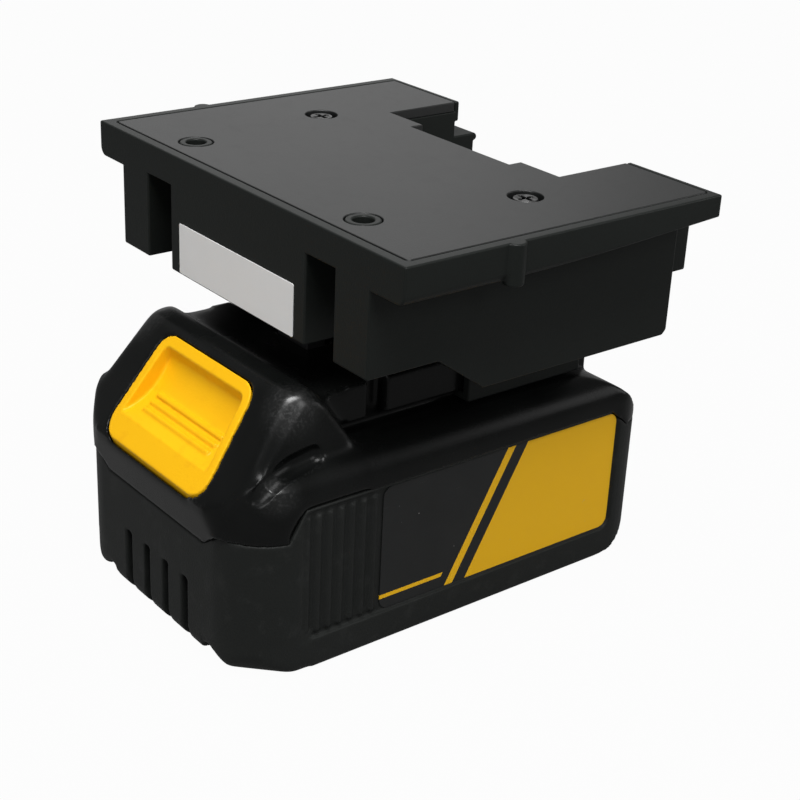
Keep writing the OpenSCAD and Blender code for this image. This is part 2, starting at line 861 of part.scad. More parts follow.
module gauge_button() color("#d9d9d6") translate([gauge_x, rear, gauge_z]) rotate([90, 0, 0]) {
    cylinder(h = pack_wall + seam, r = gauge_button_r);
    translate([0, 0, pack_wall + seam / 2]) cylinder(h = gauge_flange_t, r = gauge_button_r + gauge_flange);
}

// Small board behind the window, with four lamps and the switch that the gauge button works
module gauge_board() color("#1f5a38") {
    lamp_pitch = 3.2;
    lamp_r = 1.2;
    lamp_in = 2.2;
    switch_w = 4;
    inner = rear - pack_wall - seam;
    block([-gauge_board_half, gauge_board_y - board_t, gauge_z - gauge_h / 2],
        [gauge_board_half, gauge_board_y, gauge_z + gauge_h / 2]);
    for (i = [0:3])
        translate([i * lamp_pitch - gauge_board_half + lamp_in, gauge_board_y, gauge_z])
            rotate([-90, 0, 0]) cylinder(h = inner - gauge_board_y, r = lamp_r);
    translate([gauge_x - switch_w / 2, gauge_board_y, gauge_z - switch_w / 2])
        cube([switch_w, inner - seam - gauge_flange_t - gauge_travel - gauge_board_y, switch_w]);
}

// Solid of the button's outline along its travel, grown by a distance
module button_prism(grow) {
    translate([0, 0, face_low[1] - face_l]) linear_extrude(2 * face_l) button_outline(grow);
}

// Side outline of the button between its skirt and its face, as travel-wise Y and Z
function button_side(drop) = [
    [face_low[0], face_low[1] - skirt_front], [face_top[0], face_top[1] - skirt_back],
    [face_top[0], face_top[1] - drop], [face_low[0], face_low[1] - drop]
];

module release_button() color("#f7b70e") rotate([press_tilt, 0, 0]) {
    rim = 2.4;
    scoop_r = 16;
    scoop_at = 0.6;
    ridge_r = 0.75;
    pad_skin = 0.8;
    ridge_angles = [10, 18, 26];
    deepest = face_low + (face_top - face_low) * scoop_at;
    along = [cos(face_angle), sin(face_angle)];
    normal = [-sin(face_angle), cos(face_angle)];
    pad_h = face_low[1] + (spring_y - pad_r - face_low[0]) * tan(face_angle) - pad_skin - pad_z;
    scoop_axis = deepest + normal * (scoop_r - scoop_depth);
    difference() {
        intersection() {
            button_prism(0);
            along_x(button_low_w) polygon(button_side(0));
        }
        intersection() {
            button_prism(-button_skin);
            along_x(button_low_w)
                polygon([
                    button_side(0)[0] - [0, overrun], button_side(0)[1] - [0, overrun],
                    button_side(ceiling_drop)[2], button_side(ceiling_drop)[3]
                ]);
        }
        intersection() {
            button_prism(-rim);
            translate([0, scoop_axis[0], scoop_axis[1]])
                rotate([0, 90, 0]) cylinder(h = button_low_w, r = scoop_r, center = true, $fn = 96);
        }
    }
    // Three grip ridges across the lower ramp of the scoop
    for (a = ridge_angles) {
        ridge = scoop_axis - scoop_r * (normal * cos(a) + along * sin(a));
        translate([0, ridge[0], ridge[1]])
            rotate([0, 90, 0]) cylinder(h = button_top_w - 4 * rim, r = ridge_r, center = true);
    }
    // Flat pads for the springs
    both_sides(spring_x)
        translate([0, spring_y, pad_z]) cylinder(h = pad_h, r = pad_r);
}

// Plate behind the button with the upright bolt at its end
module latch_bolt() color("#2a2b2d") along_x(bolt_w)
    polygon([
        [button_back(latch_z), latch_z], [bolt_y + bolt_l, latch_z],
        [bolt_y + bolt_l, bolt_top - bolt_bevel], [bolt_y + bolt_l - bolt_bevel, bolt_top],
        [bolt_y, bolt_top], [bolt_y, latch_z + latch_t],
        [button_back(latch_z + latch_t), latch_z + latch_t]
    ]);

// Round tube of flat sides through a row of points; the path never runs along the across direction
module swept(points, r, sides, across) {
    rings = len(points);
    skin = [for (k = [0:rings - 1])
        let (
            into = unit(points[max(k, 1)] - points[max(k, 1) - 1]),
            out = k < rings - 1 ? unit(points[k + 1] - points[k]) : into,
            run = unit(into + out),
            a = unit(cross(run, across)),
            b = cross(a, run)
        )
        for (s = [0:sides - 1]) points[k] + r * (a * cos(360 * s / sides) + b * sin(360 * s / sides))];
    last = (rings - 1) * sides;
    walls = [for (k = [0:rings - 2]) for (s = [0:sides - 1])
        let (
            low = k * sides + s,
            next = k * sides + (s + 1) % sides
        )
        each [[low, next, low + sides], [next, next + sides, low + sides]]];
    ends = [for (s = [1:sides - 2]) each [[0, s + 1, s], [last, last + s, last + s + 1]]];
    polyhedron(skin, concat(walls, ends));
}

// Coil springs between the shelf and the button's pads, as one tube each
spring_h = pad_z - spring_seat;
coil_steps = 8;
coil_rings = coil_steps * spring_turns;
coil_path = [for (k = [0:coil_rings])
    [spring_d / 2 * cos(360 * k / coil_steps), spring_d / 2 * sin(360 * k / coil_steps),
        spring_wire * 0.6 + (spring_h - spring_wire * 1.2) * k / coil_rings]];
coil_gap = min([for (k = [0:coil_rings - coil_steps]) norm(coil_path[k + coil_steps] - coil_path[k])])
    - spring_wire;
echo(coil_gap = coil_gap);

module latch_springs() color("#9a9da1") rotate([press_tilt, 0, 0])
    both_sides(spring_x)
        translate([0, spring_y, spring_seat]) swept(coil_path, spring_wire / 2, 6, [0, 0, 1]);

// Adapter

// Outline of the lower part of the adapter as Y and Z, moved inwards by a distance
function tray_side(i) = let (shift = i * tan(atan2(leg_rise, leg_slope_l) / 2)) [
    [adapter_front + i, leg_z + i], [adapter_front + leg_l + shift, leg_z + i],
    [deep_y + shift, floor_z + i], [wall_rear - tail_bevel - i, floor_z + i],
    [wall_rear - i, floor_z + tail_bevel + i],
    [wall_rear - i, cover_z], [adapter_front + i, cover_z]
];

// Terminal notch with its deeper middle, grown by a distance
module notch_outline(grow) {
    translate([-notch_w / 2 - grow, notch_y - grow]) square([notch_w + 2 * grow, adapter_l]);
    translate([-notch_mid_w / 2 - grow, notch_mid_y - grow]) square([notch_mid_w + 2 * grow, adapter_l]);
}

// Cover plate outline inside the rim, grown by a distance
module cover_outline(grow) {
    difference() {
        rounded(rim_w - flange_w / 2 - grow, flange_w / 2 - rim_w + grow, adapter_front + rim_w - grow,
            adapter_rear - rear_rim + grow, [for (k = [0:3]) cover_round]);
        notch_outline(0);
    }
}

// The two channels behind the front slots, with walls of a given thickness around them
module channels(grow) {
    both_sides((slot_apart + slot_w) / 2)
        block([-slot_w / 2 - grow, adapter_front - overrun, floor_z - overrun],
            [slot_w / 2 + grow, deep_y + grow, slot_ceiling + grow]);
}

module at_mounts() {
    both_sides(mount_apart / 2) translate([0, mount_y, 0]) children();
}

module at_cover_screws() {
    both_sides(screw_apart / 2) translate([0, screw_y, 0]) children();
}

module adapter_housing() color("#202122") {
    rib_setback = 28.6;
    rib_y = adapter_front + rib_setback;
    rib_r = 2.3;
    rib_out = 1.6;
    rib_under = 0.8;
    rib_h = flange_h + rib_under;
    catch_in = 2.5;
    catch_x = wall_w / 2 - catch_in;
    catch_l = 6.7;
    catch_h = 13.6;
    catch_drop = 9.2;
    lip_r = 1;
    catch_z1 = top_z - catch_drop;
    catch_z0 = catch_z1 - catch_h;
    difference() {
        union() {
            // Flanges, with the underside rising towards the rear
            intersection() {
                along_x(flange_w)
                    polygon([
                        [adapter_front, top_z], [adapter_front, top_z - flange_h],
                        [rib_y + rib_r, top_z - flange_h],
                        [adapter_rear, top_z - flange_h + flange_lead], [adapter_rear, top_z]
                    ]);
                along_y(adapter_front, adapter_rear)
                    rounded(-flange_w / 2, flange_w / 2, top_z - flange_h, top_z,
                        [flange_round, flange_round, 0, 0]);
            }
            along_x(wall_w) polygon(tray_side(0));
            // Half-round rib across each flange
            both_sides(flange_w / 2 - rib_r + rib_out)
                translate([0, rib_y, top_z - rib_h]) cylinder(h = rib_h, r = rib_r);
            // Catch block behind each arm of the notch, with a rounded lip along its top
            mirrored_pair() {
                block([notch_w / 2, wall_rear - overrun, catch_z0],
                    [catch_x, wall_rear + catch_l, catch_z1]);
                translate([notch_w / 2, wall_rear + catch_l, catch_z1 - lip_r])
                    rotate([0, 90, 0]) cylinder(h = catch_x - notch_w / 2, r = lip_r);
            }
        }
        difference() {
            along_x(wall_w - 2 * adapter_wall) polygon(tray_side(adapter_wall));
            channels(adapter_wall);
            translate([0, 0, notch_floor - adapter_wall])
                linear_extrude(notch_depth) notch_outline(adapter_wall);
            at_cover_screws() translate([0, 0, floor_z]) cylinder(h = top_z, r = screw_boss_r);
            at_mounts() translate([0, 0, floor_z]) cylinder(h = top_z, r = mount_boss_r);
        }
        channels(0);
        translate([0, 0, notch_floor]) linear_extrude(notch_depth + overrun) notch_outline(0);
        // Seat of the cover, with the bosses of the mounting holes left standing in it
        difference() {
            translate([0, 0, cover_z]) linear_extrude(cover_t + overrun) cover_outline(seam);
            at_mounts() translate([0, 0, floor_z]) cylinder(h = top_z, r = mount_boss_r);
        }
        // Window of the contact carrier
        block([-carrier_half - seam, carrier_y0 - seam, floor_z - overrun],
            [carrier_half + seam, carrier_y1 + seam, floor_z + adapter_wall + overrun]);
        // Window of the output block
        block([-output_half - seam, output_y - overrun, output_z0 + output_inset - seam],
            [output_half + seam, notch_mid_y + overrun, output_z1 - output_inset + seam]);
        at_mounts() translate([0, 0, floor_z]) cylinder(h = adapter_rise + overrun, r = mount_d / 2);
        at_cover_screws() {
            translate([0, 0, cover_z - screw_l])
                cylinder(h = screw_l + overrun, r = screw_d / 2 + screw_play);
            translate([0, 0, cover_z - under_cover - seam]) cylinder(h = top_z, r = screw_boss_r + overrun);
        }
    }
    // Rails under the floor that hold the neck
    mirrored_pair() {
        block([neck_w / 2 + slide_fit, rail_start, rail_under - slide_fit - rail_lip],
            [neck_w / 2 + slide_fit + rail_web, rail_end, floor_z + overrun]);
        block([groove_half + slide_fit, rail_start, rail_under - slide_fit - rail_lip],
            [neck_w / 2 + slide_fit + rail_web / 2, rail_end, rail_under - slide_fit]);
    }
    // Strike that the latch bolt stands behind
    block([-bolt_w / 2 - strike_side, bolt_y - slide_fit - strike_t, bolt_top + strike_gap],
        [bolt_w / 2 + strike_side, bolt_y - slide_fit, leg_z + overrun]);
}

module adapter_cover() color("#232425") difference() {
    union() {
        translate([0, 0, cover_z]) linear_extrude(cover_t) cover_outline(0);
        at_cover_screws()
            translate([0, 0, cover_z - under_cover]) cylinder(h = under_cover + overrun, r = screw_boss_r);
    }
    at_mounts()
        translate([0, 0, cover_z - overrun]) cylinder(h = cover_t + 2 * overrun, r = mount_boss_r + seam);
    at_cover_screws() {
        translate([0, 0, cover_z - 2 * under_cover]) cylinder(h = screw_l, r = screw_d / 2 + screw_play);
        translate([0, 0, top_z - head_sink]) cylinder(h = head_sink + overrun, r = counterbore_d / 2);
    }
}

// Cross-head screws that hold the cover
module cover_screws() color("#a9acb0") at_cover_screws() {
    head_h = 1.8;
    head_slope = 0.7;
    cross_w = 1;
    cross_l = 4.2;
    cross_depth = 1.1;
    translate([0, 0, top_z - head_sink - screw_l]) cylinder(h = screw_l + head_h / 4, r = screw_d / 2);
    translate([0, 0, top_z - head_sink])
        difference() {
            cylinder(h = head_h, r1 = screw_head_d / 2, r2 = screw_head_d / 2 - head_slope);
            for (a = [0, 90])
                rotate(a)
                    translate([-cross_l / 2, -cross_w / 2, head_h - cross_depth])
                        cube([cross_l, cross_w, head_h]);
        }
}

// Insulating block in the floor that carries the blades
module contact_carrier() color("#2b2c2f") difference() {
    union() {
        block([-carrier_half, carrier_y0, floor_z], [carrier_half, carrier_y1, carrier_top]);
        block([-carrier_half - carrier_flange, carrier_y0 - carrier_flange, floor_z + adapter_wall],
            [carrier_half + carrier_flange, carrier_y1, floor_z + adapter_wall + carrier_flange]);
    }
    for (x = blade_x)
        block([x - blade_t / 2, blade_y, floor_z - overrun], [x + blade_t / 2, blade_y + blade_l, top_z]);
}

// Blade with a narrower tab above the carrier
module blade(x) {
    block([x - blade_t / 2, blade_y, blade_low], [x + blade_t / 2, blade_y + blade_l, carrier_top]);
    block([x - blade_t / 2, blade_y + tab_start, floor_z], [x + blade_t / 2, blade_y + tab_end, blade_top]);
}

module blade_positive() color("#c9a24e") blade(blade_x[0]);

module blade_negative() color("#c9a24e") blade(blade_x[3]);

module blades_signal() color("#c9a24e") {
    blade(blade_x[1]);
    blade(blade_x[2]);
}

// Block behind the notch that takes the tool's blades, with its flange against the wall
module output_block() color("#2b2c2f") difference() {
    union() {
        block([-output_half, output_back, output_z0 + output_inset],
            [output_half, notch_mid_y - seam, output_z1 - output_inset]);
        block([-output_half - output_flange, output_back, output_z0],
            [output_half + output_flange, output_y, output_z1]);
    }
    for (x = output_x) {
        block([x - clip_slot, output_back + output_inset, output_z0 + pocket_in],
            [x + clip_slot, notch_mid_y + overrun, output_z1 - pocket_in]);
        translate([x, output_back + 2 * output_inset, output_mid_z])
            rotate([90, 0, 0]) cylinder(h = output_depth, r = tail_r + screw_play);
    }
}

// Forked clips in the output block, with a round tail for the wire
module output_clips() color("#c79a4b") for (x = output_x) {
    y0 = output_back + output_inset + seam;
    z0 = output_z0 + pocket_in + clip_play;
    z1 = output_z1 - pocket_in - clip_play;
    for (s = [-1, 1])
        translate([x + s * (clip_gap + clip_t / 2), 0, 0])
            block([-clip_t / 2, y0, z0], [clip_t / 2, notch_mid_y - seam - clip_play, z1]);
    block([x - clip_gap - clip_t, y0, z0], [x + clip_gap + clip_t, y0 + clip_t, z1]);
    translate([x, y0 + clip_t, output_mid_z])
        rotate([90, 0, 0]) cylinder(h = y0 + clip_t - tail_y, r = tail_r);
}

// Insulated wire beside a blade's tab, forward under the notch and up to the tail of an output clip
module wire(i, side) {
    tab_x = blade_x[i] + side * (blade_t / 2 + wire_r + screw_play);
    run_z = carrier_top + wire_r + seam;
    rise_y = output_back - wire_reach;
    swept([
        [tab_x, blade_y + tab_end, run_z], [tab_x, rise_y + wire_bend, run_z],
        [tab_x, rise_y, run_z + wire_bend], [output_x[i], rise_y, output_mid_z - wire_bend],
        [output_x[i], rise_y + wire_bend, output_mid_z], [output_x[i], tail_y - screw_play, output_mid_z]
    ], wire_r, 10, [1, 0, 0]);
}

module wire_positive() color("#b5261e") wire(0, 1);

module wire_negative() color("#1a1a1a") wire(3, -1);

module wires_signal() color("#d8d2c0") {
    wire(1, -1);
    wire(2, 1);
}

// Plain white sticker on the lower half of the front panel
module front_sticker() color("#f4f4f2") {
    sticker_t = 0.2;
    sticker_h = 12;
    sticker_side = 4;
    sticker_low = 0.5;
    sticker_round = 0.4;
    half = slot_apart / 2 - sticker_side;
    z0 = leg_z + sticker_low;
    along_y(adapter_front - sticker_t, adapter_front)
        rounded(-half, half, z0, z0 + sticker_h, [for (k = [0:3]) sticker_round]);
}

adapter_housing();
adapter_cover();
cover_screws();
contact_carrier();
blade_positive();
blade_negative();
blades_signal();
output_block();
output_clips();
wire_positive();
wire_negative();
wires_signal();
front_sticker();
pack_upper_housing();
pack_lower_housing();
cell_holder_left();
cell_holder_right();
bus_strips_left();
bus_strips_right();
control_board();
terminal_block();
terminal_clips();
side_label_left();
side_label_right();
housing_screws();
gauge_lens();
gauge_button();
gauge_board();
release_button();
latch_bolt();
latch_springs();
for (i = [1:len(CELLS)]) cell(i);
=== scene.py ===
import math

import bmesh
import bpy
from mathutils import Matrix, Vector, geometry


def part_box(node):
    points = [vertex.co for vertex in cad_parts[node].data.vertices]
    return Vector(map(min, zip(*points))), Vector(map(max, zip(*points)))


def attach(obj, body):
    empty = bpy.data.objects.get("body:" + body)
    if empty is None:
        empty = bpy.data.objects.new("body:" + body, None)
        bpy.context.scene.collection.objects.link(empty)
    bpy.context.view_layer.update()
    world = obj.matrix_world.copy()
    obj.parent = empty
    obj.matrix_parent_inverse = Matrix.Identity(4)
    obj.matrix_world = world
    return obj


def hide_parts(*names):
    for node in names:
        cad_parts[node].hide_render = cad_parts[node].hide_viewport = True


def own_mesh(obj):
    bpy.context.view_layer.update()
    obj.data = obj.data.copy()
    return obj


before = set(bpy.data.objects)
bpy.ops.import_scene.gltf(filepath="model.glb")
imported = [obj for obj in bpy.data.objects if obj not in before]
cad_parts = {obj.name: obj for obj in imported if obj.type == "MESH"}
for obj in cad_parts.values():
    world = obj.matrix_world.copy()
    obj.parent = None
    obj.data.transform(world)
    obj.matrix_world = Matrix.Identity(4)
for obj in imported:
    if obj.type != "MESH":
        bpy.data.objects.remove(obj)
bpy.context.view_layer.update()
scene = bpy.context.scene
scene.view_settings.view_transform = "Standard"

# Camera: stands in front of the button end, to the right and a little above, as the photograph was taken.
# A short tele lens; the picture is square.
CAMERA_AZIMUTH = math.radians(50.77)
CAMERA_ELEVATION = math.radians(24.85)
CAMERA_ROLL = math.radians(2.78)
CAMERA_DISTANCE = 0.40416
CAMERA_TARGET = Vector((0, 0.01079, 0.03862))
back = Vector((math.sin(CAMERA_AZIMUTH), -math.cos(CAMERA_AZIMUTH), math.tan(CAMERA_ELEVATION))).normalized()
right = Vector((math.cos(CAMERA_AZIMUTH), math.sin(CAMERA_AZIMUTH), 0))
turn = Matrix((right, back.cross(right), back)).transposed() @ Matrix.Rotation(CAMERA_ROLL, 3, "Z")
lens = bpy.data.cameras.new("camera")
lens.lens = 73.51
lens.sensor_width = 36
lens.clip_start = 0.01
camera = bpy.data.objects.new("camera", lens)
camera.matrix_world = Matrix.Translation(CAMERA_TARGET + back * CAMERA_DISTANCE) @ turn.to_4x4()
scene.collection.objects.link(camera)
scene.camera = camera


# Floor and backdrop: a wide matt sweep, pale, that takes the object's soft shadow.
# It is white to the camera, and dimmer to mirrors, as in a studio with dark walls.
FLOOR_HALF = 3.0
FLOOR_WHITE = 0.97
MIRROR_SHARE = 0.14
floor_mesh = bpy.data.meshes.new("floor")
bm = bmesh.new()
bmesh.ops.create_grid(bm, x_segments=1, y_segments=1, size=FLOOR_HALF)
bm.to_mesh(floor_mesh)
bm.free()
floor = bpy.data.objects.new("floor", floor_mesh)
scene.collection.objects.link(floor)


class Field:
    """One value over a surface: a socket, with arithmetic that adds the nodes it needs"""

    def __init__(self, socket):
        self.socket = socket

    def node(self, kind, settings, sockets, output=0):
        """Any other node: its type, its settings, then the values or links of its sockets"""
        tree = self.socket.id_data
        node = tree.nodes.new("ShaderNode" + kind)
        for name, value in settings.items():
            setattr(node, name, value)
        for name, value in sockets.items():
            if isinstance(value, Field):
                tree.links.new(value.socket, node.inputs[name])
            else:
                node.inputs[name].default_value = value
        return Field(node.outputs[output])

    def maths(self, operation, a, b):
        return self.node("Math", {"operation": operation}, {0: a, 1: b})

    def __add__(self, other):
        return self.maths("ADD", self, other)

    def __sub__(self, other):
        return self.maths("SUBTRACT", self, other)

    def __rsub__(self, other):
        return self.maths("SUBTRACT", other, self)

    def __mul__(self, other):
        return self.maths("MULTIPLY", self, other)

    __radd__ = __add__
    __rmul__ = __mul__

    def size(self):
        """The value without its sign"""
        return self.maths("ABSOLUTE", self, 0)

    def larger(self, other):
        return self.maths("MAXIMUM", self, other)

    def above(self, edge, soft):
        """0 below an edge and 1 above it, with a soft step"""
        limits = {"Value": self, "From Min": edge - soft, "From Max": edge + soft}
        return self.node("MapRange", {"interpolation_type": "SMOOTHSTEP"}, limits)

    def colours(self, low, high):
        """Colour from low, where the value is 0, to high, where it is 1; both may be fields"""
        return self.node("Mix", {"data_type": "RGBA"}, {0: self, 6: low, 7: high}, output=2)

    def noise(self, size, detail=2.0, roughness=0.5):
        """Cloudy value whose blotches are about this size in metres"""
        sockets = {"Vector": self, "Scale": 1 / size, "Detail": detail, "Roughness": roughness}
        return self.node("TexNoise", {}, sockets)

    def axis(self, name):
        return self.node("SeparateXYZ", {}, {0: self}, output="XYZ".index(name))

    def stretched(self, x, y, z):
        """The same place with each axis multiplied, so that a noise on it runs in streaks"""
        return self.node("VectorMath", {"operation": "MULTIPLY"}, {0: self, 1: (x, y, z)})


def seen_directly(tree):
    """1 for the camera and for glass, part of that for mirrors, and 0 for light that bounces"""
    rays = tree.nodes.new("ShaderNodeLightPath")
    camera_ray, glossy_ray, clear_ray = [
        Field(rays.outputs[name]) for name in ("Is Camera Ray", "Is Glossy Ray", "Is Transmission Ray")
    ]
    return camera_ray.larger(glossy_ray * MIRROR_SHARE).larger(clear_ray)


floor_paint = bpy.data.materials.new("floor paint")
floor_paint.use_nodes = True
floor_tree = floor_paint.node_tree
floor_tree.nodes.clear()
direct = seen_directly(floor_tree)
matt = direct.node("BsdfDiffuse", {}, {"Color": (0.2, 0.2, 0.2, 1)})
white = direct.node("Emission", {}, {"Color": (1, 1, 1, 1), "Strength": 1})
floor_mix = direct.node("MixShader", {}, {0: direct * FLOOR_WHITE, 1: matt, 2: white})
floor_out = floor_tree.nodes.new("ShaderNodeOutputMaterial")
floor_tree.links.new(floor_mix.socket, floor_out.inputs["Surface"])
floor_mesh.materials.append(floor_paint)

# Light: a dim studio tent, with soft boxes over the object and on all sides of it.
# The one above makes the highlights on the hood, and the one behind the sheen on the top plate.
AMBIENT = 0.16
world = bpy.data.worlds.new("tent")
world.use_nodes = True
scene.world = world
world_tree = world.node_tree
tent = world_tree.nodes["Background"]
direct = seen_directly(world_tree)
strength = direct * (1 - AMBIENT) + AMBIENT
world_tree.links.new(strength.socket, tent.inputs["Strength"])
tent.inputs["Color"].default_value = (1, 1, 1, 1)


def soft_box(name, place, aim, size, watts):
    lamp = bpy.data.lights.new(name, "AREA")
    lamp.shape = "DISK"
    lamp.size = size
    lamp.energy = watts
    box = bpy.data.objects.new(name, lamp)
    towards = Vector(aim) - Vector(place)
    box.matrix_world = Matrix.Translation(place) @ towards.to_track_quat("-Z", "Y").to_matrix().to_4x4()
    scene.collection.objects.link(box)


soft_box("box_above", (0.27, -0.23, 0.93), (0, 0, 0.06), 0.5, 9.2)
soft_box("box_behind", (-0.88, 0.55, 0.56), (0, 0, 0.07), 0.7, 0.74)
soft_box("box_right", (0.85, 0.05, 0.65), (0, 0, 0.05), 0.4, 2.0)
soft_box("box_front", (0.28, -0.92, 0.42), (0, 0, 0.05), 0.5, 1.9)
soft_box("box_rear", (0.60, 0.85, 0.35), (0, 0, 0.05), 0.5, 1.6)


# Cells: ten round steel cans in shrink sleeves, five in series and two side by side.
# The sleeve stops short of both ends, where the bare can shows.


class Finish:
    """One material: constants on its shader's own sockets, and fields for what changes over the surface"""

    def __init__(self, name, constants):
        self.material = bpy.data.materials.new(name)
        self.material.use_nodes = True
        self.tree = self.material.node_tree
        self.shader = self.tree.nodes["Principled BSDF"]
        for socket, value in constants.items():
            self.shader.inputs[socket].default_value = value
        self.place = Field(self.tree.nodes.new("ShaderNodeTexCoord").outputs["Object"])

    def geometry(self, name):
        return Field(self.tree.nodes.new("ShaderNodeNewGeometry").outputs[name])

    def feed(self, **fields):
        for name, field in fields.items():
            self.tree.links.new(field.socket, self.shader.inputs[name.replace("_", " ")])

    def bump(self, height, depth):
        self.feed(Normal=height.node("Bump", {}, {"Height": height, "Distance": depth, "Strength": 1}))

    def on_node(self, *names):
        for name in names:
            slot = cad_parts[name].material_slots[0]
            slot.link = "OBJECT"
            slot.material = self.material


SLEEVE_HALF = 0.0317
sleeve = Finish("cell sleeve", {"Specular IOR Level": 0.45})
place = sleeve.place
bare = place.axis("X").size().above(SLEEVE_HALF, 0.00005)
cloud = place.noise(0.02, 3)
film = (cloud * 0.4).colours((0.035, 0.16, 0.33, 1), (0.06, 0.21, 0.38, 1))
sleeve.feed(
    Base_Color=bare.colours(film, (0.60, 0.60, 0.58, 1)),
    Metallic=bare,
    Roughness=cloud * 0.12 + 0.28,
)
sleeve.bump(place.noise(0.003, 2), 0.00004)
sleeve.on_node(*["cell_%d" % number for number in range(1, 11)])

# Cell holders: open frames of black nylon that hold the cells at both ends.
# The same nylon insulates the contacts further up.
insulator = Finish("insulator nylon", {"Specular IOR Level": 0.3})
place = insulator.place
cloud = place.noise(0.012, 3)
insulator.feed(
    Base_Color=cloud.colours((0.012, 0.012, 0.013, 1), (0.022, 0.022, 0.023, 1)),
    Roughness=cloud * 0.15 + 0.45,
)
insulator.bump(place.noise(0.0006, 2), 0.00004)
insulator.on_node("cell_holder_left", "cell_holder_right")

# Bus strips: rolled nickel ribbon, cut to length and spot welded across the ends of the cells.
# Tarnish has dulled it in patches.
nickel = Finish("rolled nickel", {"Metallic": 1.0})
place = nickel.place
streak = place.stretched(1, 0.08, 1).noise(0.0006, 3)
tarnish = place.noise(0.006, 4).above(0.58, 0.1)
nickel.feed(
    Base_Color=tarnish.colours((0.62, 0.60, 0.56, 1), (0.48, 0.44, 0.38, 1)),
    Roughness=streak * 0.18 + 0.22 + tarnish * 0.1,
)
nickel.bump(streak, 0.00002)
nickel.on_node("bus_strips_left", "bus_strips_right")

# Circuit boards: glass laminate under green solder mask, one over the cells and one behind the gauge window.
# Copper tracks show as paler lines, and the parts on top are black.
CHIP_FOOT = 0.0443
board_mask = Finish("solder mask", {"Specular IOR Level": 0.5})
place = board_mask.place
winding = place.noise(0.011, 0) * 16
track = winding.maths("PINGPONG", winding, 0.5).above(0.36, 0.04)
chip = place.axis("Z").above(CHIP_FOOT, 0.00004)
green = track.colours((0.008, 0.070, 0.028, 1), (0.020, 0.130, 0.050, 1))
board_mask.feed(
    Base_Color=chip.colours(green, (0.015, 0.015, 0.016, 1)),
    Roughness=chip * 0.25 + 0.25,
)
board_mask.bump(track, 0.00003)
board_mask.on_node("control_board", "gauge_board")


# Terminal block: nylon block at the end of the neck that takes the adapter's blades.
# A forked clip of tinned brass sits in each slot, stamped and pressed in from above.
insulator.on_node("terminal_block")
brass = Finish("tinned brass", {"Metallic": 1.0})
place = brass.place
streak = place.stretched(1, 0.1, 1).noise(0.0007, 3)
worn = place.noise(0.003, 4).above(0.55, 0.1)
brass.feed(
    Base_Color=worn.colours((0.70, 0.55, 0.28, 1), (0.62, 0.58, 0.50, 1)),
    Roughness=streak * 0.2 + 0.20,
)
brass.bump(streak, 0.00002)
brass.on_node("terminal_clips")


# Lower housing of the pack: the tub that holds the cells, glass-filled nylon with a fine spark texture.
# One moulding, with vents at the button end and a recessed panel on each side.


def merged_copy(node):
    """A node's solid as a bmesh with its points joined"""
    bm = bmesh.new()
    bm.from_mesh(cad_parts[node].data)
    bmesh.ops.remove_doubles(bm, verts=bm.verts, dist=1e-6)
    return bm


def stands_for(node, body, bm, name, finish):
    """Makes a bmesh the visible piece of a node"""
    mesh = bpy.data.meshes.new(name)
    bm.to_mesh(mesh)
    bm.free()
    mesh.materials.append(finish.material)
    piece = bpy.data.objects.new(name, mesh)
    scene.collection.objects.link(piece)
    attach(piece, body)
    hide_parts(node)
    return piece


LAST_PASSES = 3


def moulded(node, body, finish, voxel, passes, share, soft=None, soft_passes=0, reshape=None):
    """A node's solid as one smooth skin, with its edges eased as a mould leaves them

    Where soft holds, the skin is smoothed further and each of its places goes through reshape.
    """
    piece = stands_for(node, body, merged_copy(node), node + "_moulding", finish)

    def bake():
        made = piece.evaluated_get(bpy.context.evaluated_depsgraph_get())
        piece.data = bpy.data.meshes.new_from_object(made)
        piece.modifiers.clear()

    skin = piece.modifiers.new("skin", "REMESH")
    skin.mode = "VOXEL"
    skin.voxel_size = voxel
    skin.use_smooth_shade = True
    ease = piece.modifiers.new("ease", "SMOOTH")
    ease.factor = 0.5
    ease.iterations = passes
    if soft:
        bake()
        bm = bmesh.new()
        bm.from_mesh(piece.data)
        zone = [vert for vert in bm.verts if soft(vert.co)]
        all_axes = {"use_axis_x": True, "use_axis_y": True, "use_axis_z": True}
        for _ in range(2):
            for _ in range(soft_passes // 2):
                bmesh.ops.smooth_vert(bm, verts=zone, factor=0.5, **all_axes)
            for vert in zone:
                vert.co = reshape(vert.co)
        for _ in range(LAST_PASSES):
            bmesh.ops.smooth_vert(bm, verts=zone, factor=0.5, **all_axes)
        bm.to_mesh(piece.data)
        bm.free()
    thin = piece.modifiers.new("thin", "DECIMATE")
    thin.ratio = share
    flat = piece.modifiers.new("flat", "WEIGHTED_NORMAL")
    flat.weight = 100
    bake()
    return piece


lower_plastic = Finish("lower housing nylon", {"Specular IOR Level": 0.12})
place = lower_plastic.place
cloud = place.noise(0.02, 3)
grain = place.noise(0.0005, 2)
dust = place.noise(0.006, 4, 0.7).above(0.62, 0.1)
lower_plastic.feed(
    Base_Color=(dust * 0.35 + cloud * 0.3).colours((0.0112, 0.0124, 0.0116, 1), (0.027, 0.028, 0.027, 1)),
    Roughness=cloud * 0.12 + 0.42,
)
lower_plastic.bump(grain, 0.00006)
CORNER_ROUND = 0.007
CORNER_REACH = 0.06244
FOOT_TOP = 0.0105
FOOT_END = -0.041
FOOT_SIDE = 0.0195


